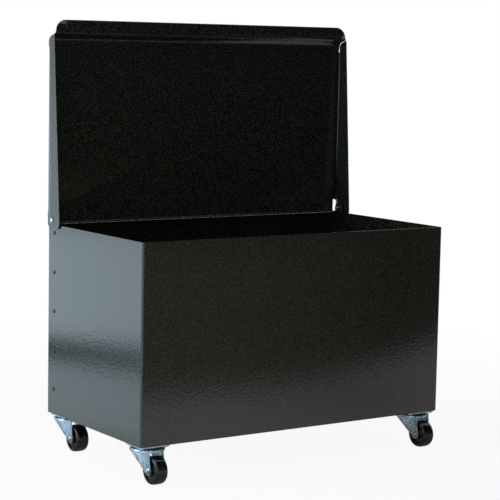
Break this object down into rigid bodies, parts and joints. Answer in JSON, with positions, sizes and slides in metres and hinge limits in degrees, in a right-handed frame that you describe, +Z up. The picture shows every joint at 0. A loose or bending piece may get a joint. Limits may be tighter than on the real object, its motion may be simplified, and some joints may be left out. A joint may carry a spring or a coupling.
{
  "type": "rolling storage bin",
  "caption": "Sheet-steel storage bin with a hinged cap lid that has a hemmed finger lip, standing on swivel casters, for loose dry fuel or other bulk goods.",
  "frame": {"origin": "floor level under the middle of the whole bin, wheels included", "axes": "+Z up, +Y towards the hinged back, +X to the right seen from the front"},
  "size_m": [0.6622, 0.3608, 0.7866],
  "materials": {
    "hammer_paint": "glossy black-brown hammertone powder coat with fine speckle",
    "zinc_plate": "bright blue-white zinc plating",
    "screw_black": "black oxide screw heads",
    "wheel_black": "glossy black moulded wheel"
  },
  "bodies": {
    "bin": {"body_wrap": "hammer_paint", "back_panel": "hammer_paint", "floor_tray": "hammer_paint", "pivot_bolt_left": "zinc_plate", "pivot_spacer_left": "zinc_plate", "pivot_nut_left": "zinc_plate", "side_screw_left_1": "screw_black", "side_screw_left_2": "screw_black", "side_screw_left_3": "screw_black", "side_screw_left_4": "screw_black", "side_screw_left_5": "screw_black", "pivot_bolt_right": "zinc_plate", "pivot_spacer_right": "zinc_plate", "pivot_nut_right": "zinc_plate", "side_screw_right_1": "screw_black", "side_screw_right_2": "screw_black", "side_screw_right_3": "screw_black", "side_screw_right_4": "screw_black", "side_screw_right_5": "screw_black", "caster_plate_front_left": "zinc_plate", "caster_kingpin_front_left": "zinc_plate", "caster_screw_front_left_1": "zinc_plate", "caster_screw_front_left_2": "zinc_plate", "caster_screw_front_left_3": "zinc_plate", "caster_screw_front_left_4": "zinc_plate", "caster_plate_front_right": "zinc_plate", "caster_kingpin_front_right": "zinc_plate", "caster_screw_front_right_1": "zinc_plate", "caster_screw_front_right_2": "zinc_plate", "caster_screw_front_right_3": "zinc_plate", "caster_screw_front_right_4": "zinc_plate", "caster_plate_rear_left": "zinc_plate", "caster_kingpin_rear_left": "zinc_plate", "caster_screw_rear_left_1": "zinc_plate", "caster_screw_rear_left_2": "zinc_plate", "caster_screw_rear_left_3": "zinc_plate", "caster_screw_rear_left_4": "zinc_plate", "caster_plate_rear_right": "zinc_plate", "caster_kingpin_rear_right": "zinc_plate", "caster_screw_rear_right_1": "zinc_plate", "caster_screw_rear_right_2": "zinc_plate", "caster_screw_rear_right_3": "zinc_plate", "caster_screw_rear_right_4": "zinc_plate"},
    "lid": {"lid": "hammer_paint"},
    "fork_front_left": {"caster_fork_front_left": "zinc_plate", "caster_axle_front_left": "zinc_plate", "caster_axle_nut_front_left": "zinc_plate"},
    "wheel_front_left": {"caster_wheel_front_left": "wheel_black"},
    "fork_front_right": {"caster_fork_front_right": "zinc_plate", "caster_axle_front_right": "zinc_plate", "caster_axle_nut_front_right": "zinc_plate"},
    "wheel_front_right": {"caster_wheel_front_right": "wheel_black"},
    "fork_rear_left": {"caster_fork_rear_left": "zinc_plate", "caster_axle_rear_left": "zinc_plate", "caster_axle_nut_rear_left": "zinc_plate"},
    "wheel_rear_left": {"caster_wheel_rear_left": "wheel_black"},
    "fork_rear_right": {"caster_fork_rear_right": "zinc_plate", "caster_axle_rear_right": "zinc_plate", "caster_axle_nut_rear_right": "zinc_plate"},
    "wheel_rear_right": {"caster_wheel_rear_right": "wheel_black"}
  },
  "joints": [
    {"name": "lid_hinge", "type": "hinge", "parent": "bin", "child": "lid", "pos_m": [0, 0.16242, 0.42439], "axis": [1, 0, 0], "range_deg": [0, 94]},
    {"name": "swivel_front_left", "type": "hinge", "parent": "bin", "child": "fork_front_left", "pos_m": [-0.292, -0.12958, 0.06049], "axis": [0, 0, 1], "continuous": true},
    {"name": "roll_front_left", "type": "hinge", "parent": "fork_front_left", "child": "wheel_front_left", "pos_m": [-0.292, -0.15558, 0.02484], "axis": [1, 0, 0], "continuous": true},
    {"name": "swivel_front_right", "type": "hinge", "parent": "bin", "child": "fork_front_right", "pos_m": [0.292, -0.12958, 0.06049], "axis": [0, 0, 1], "continuous": true},
    {"name": "roll_front_right", "type": "hinge", "parent": "fork_front_right", "child": "wheel_front_right", "pos_m": [0.292, -0.15558, 0.02484], "axis": [1, 0, 0], "continuous": true},
    {"name": "swivel_rear_left", "type": "hinge", "parent": "bin", "child": "fork_rear_left", "pos_m": [-0.292, 0.15042, 0.06049], "axis": [0, 0, 1], "continuous": true},
    {"name": "roll_rear_left", "type": "hinge", "parent": "fork_rear_left", "child": "wheel_rear_left", "pos_m": [-0.292, 0.12442, 0.02484], "axis": [1, 0, 0], "continuous": true},
    {"name": "swivel_rear_right", "type": "hinge", "parent": "bin", "child": "fork_rear_right", "pos_m": [0.292, 0.15042, 0.06049], "axis": [0, 0, 1], "continuous": true},
    {"name": "roll_rear_right", "type": "hinge", "parent": "fork_rear_right", "child": "wheel_rear_right", "pos_m": [0.292, 0.12442, 0.02484], "axis": [1, 0, 0], "continuous": true}
  ]
}
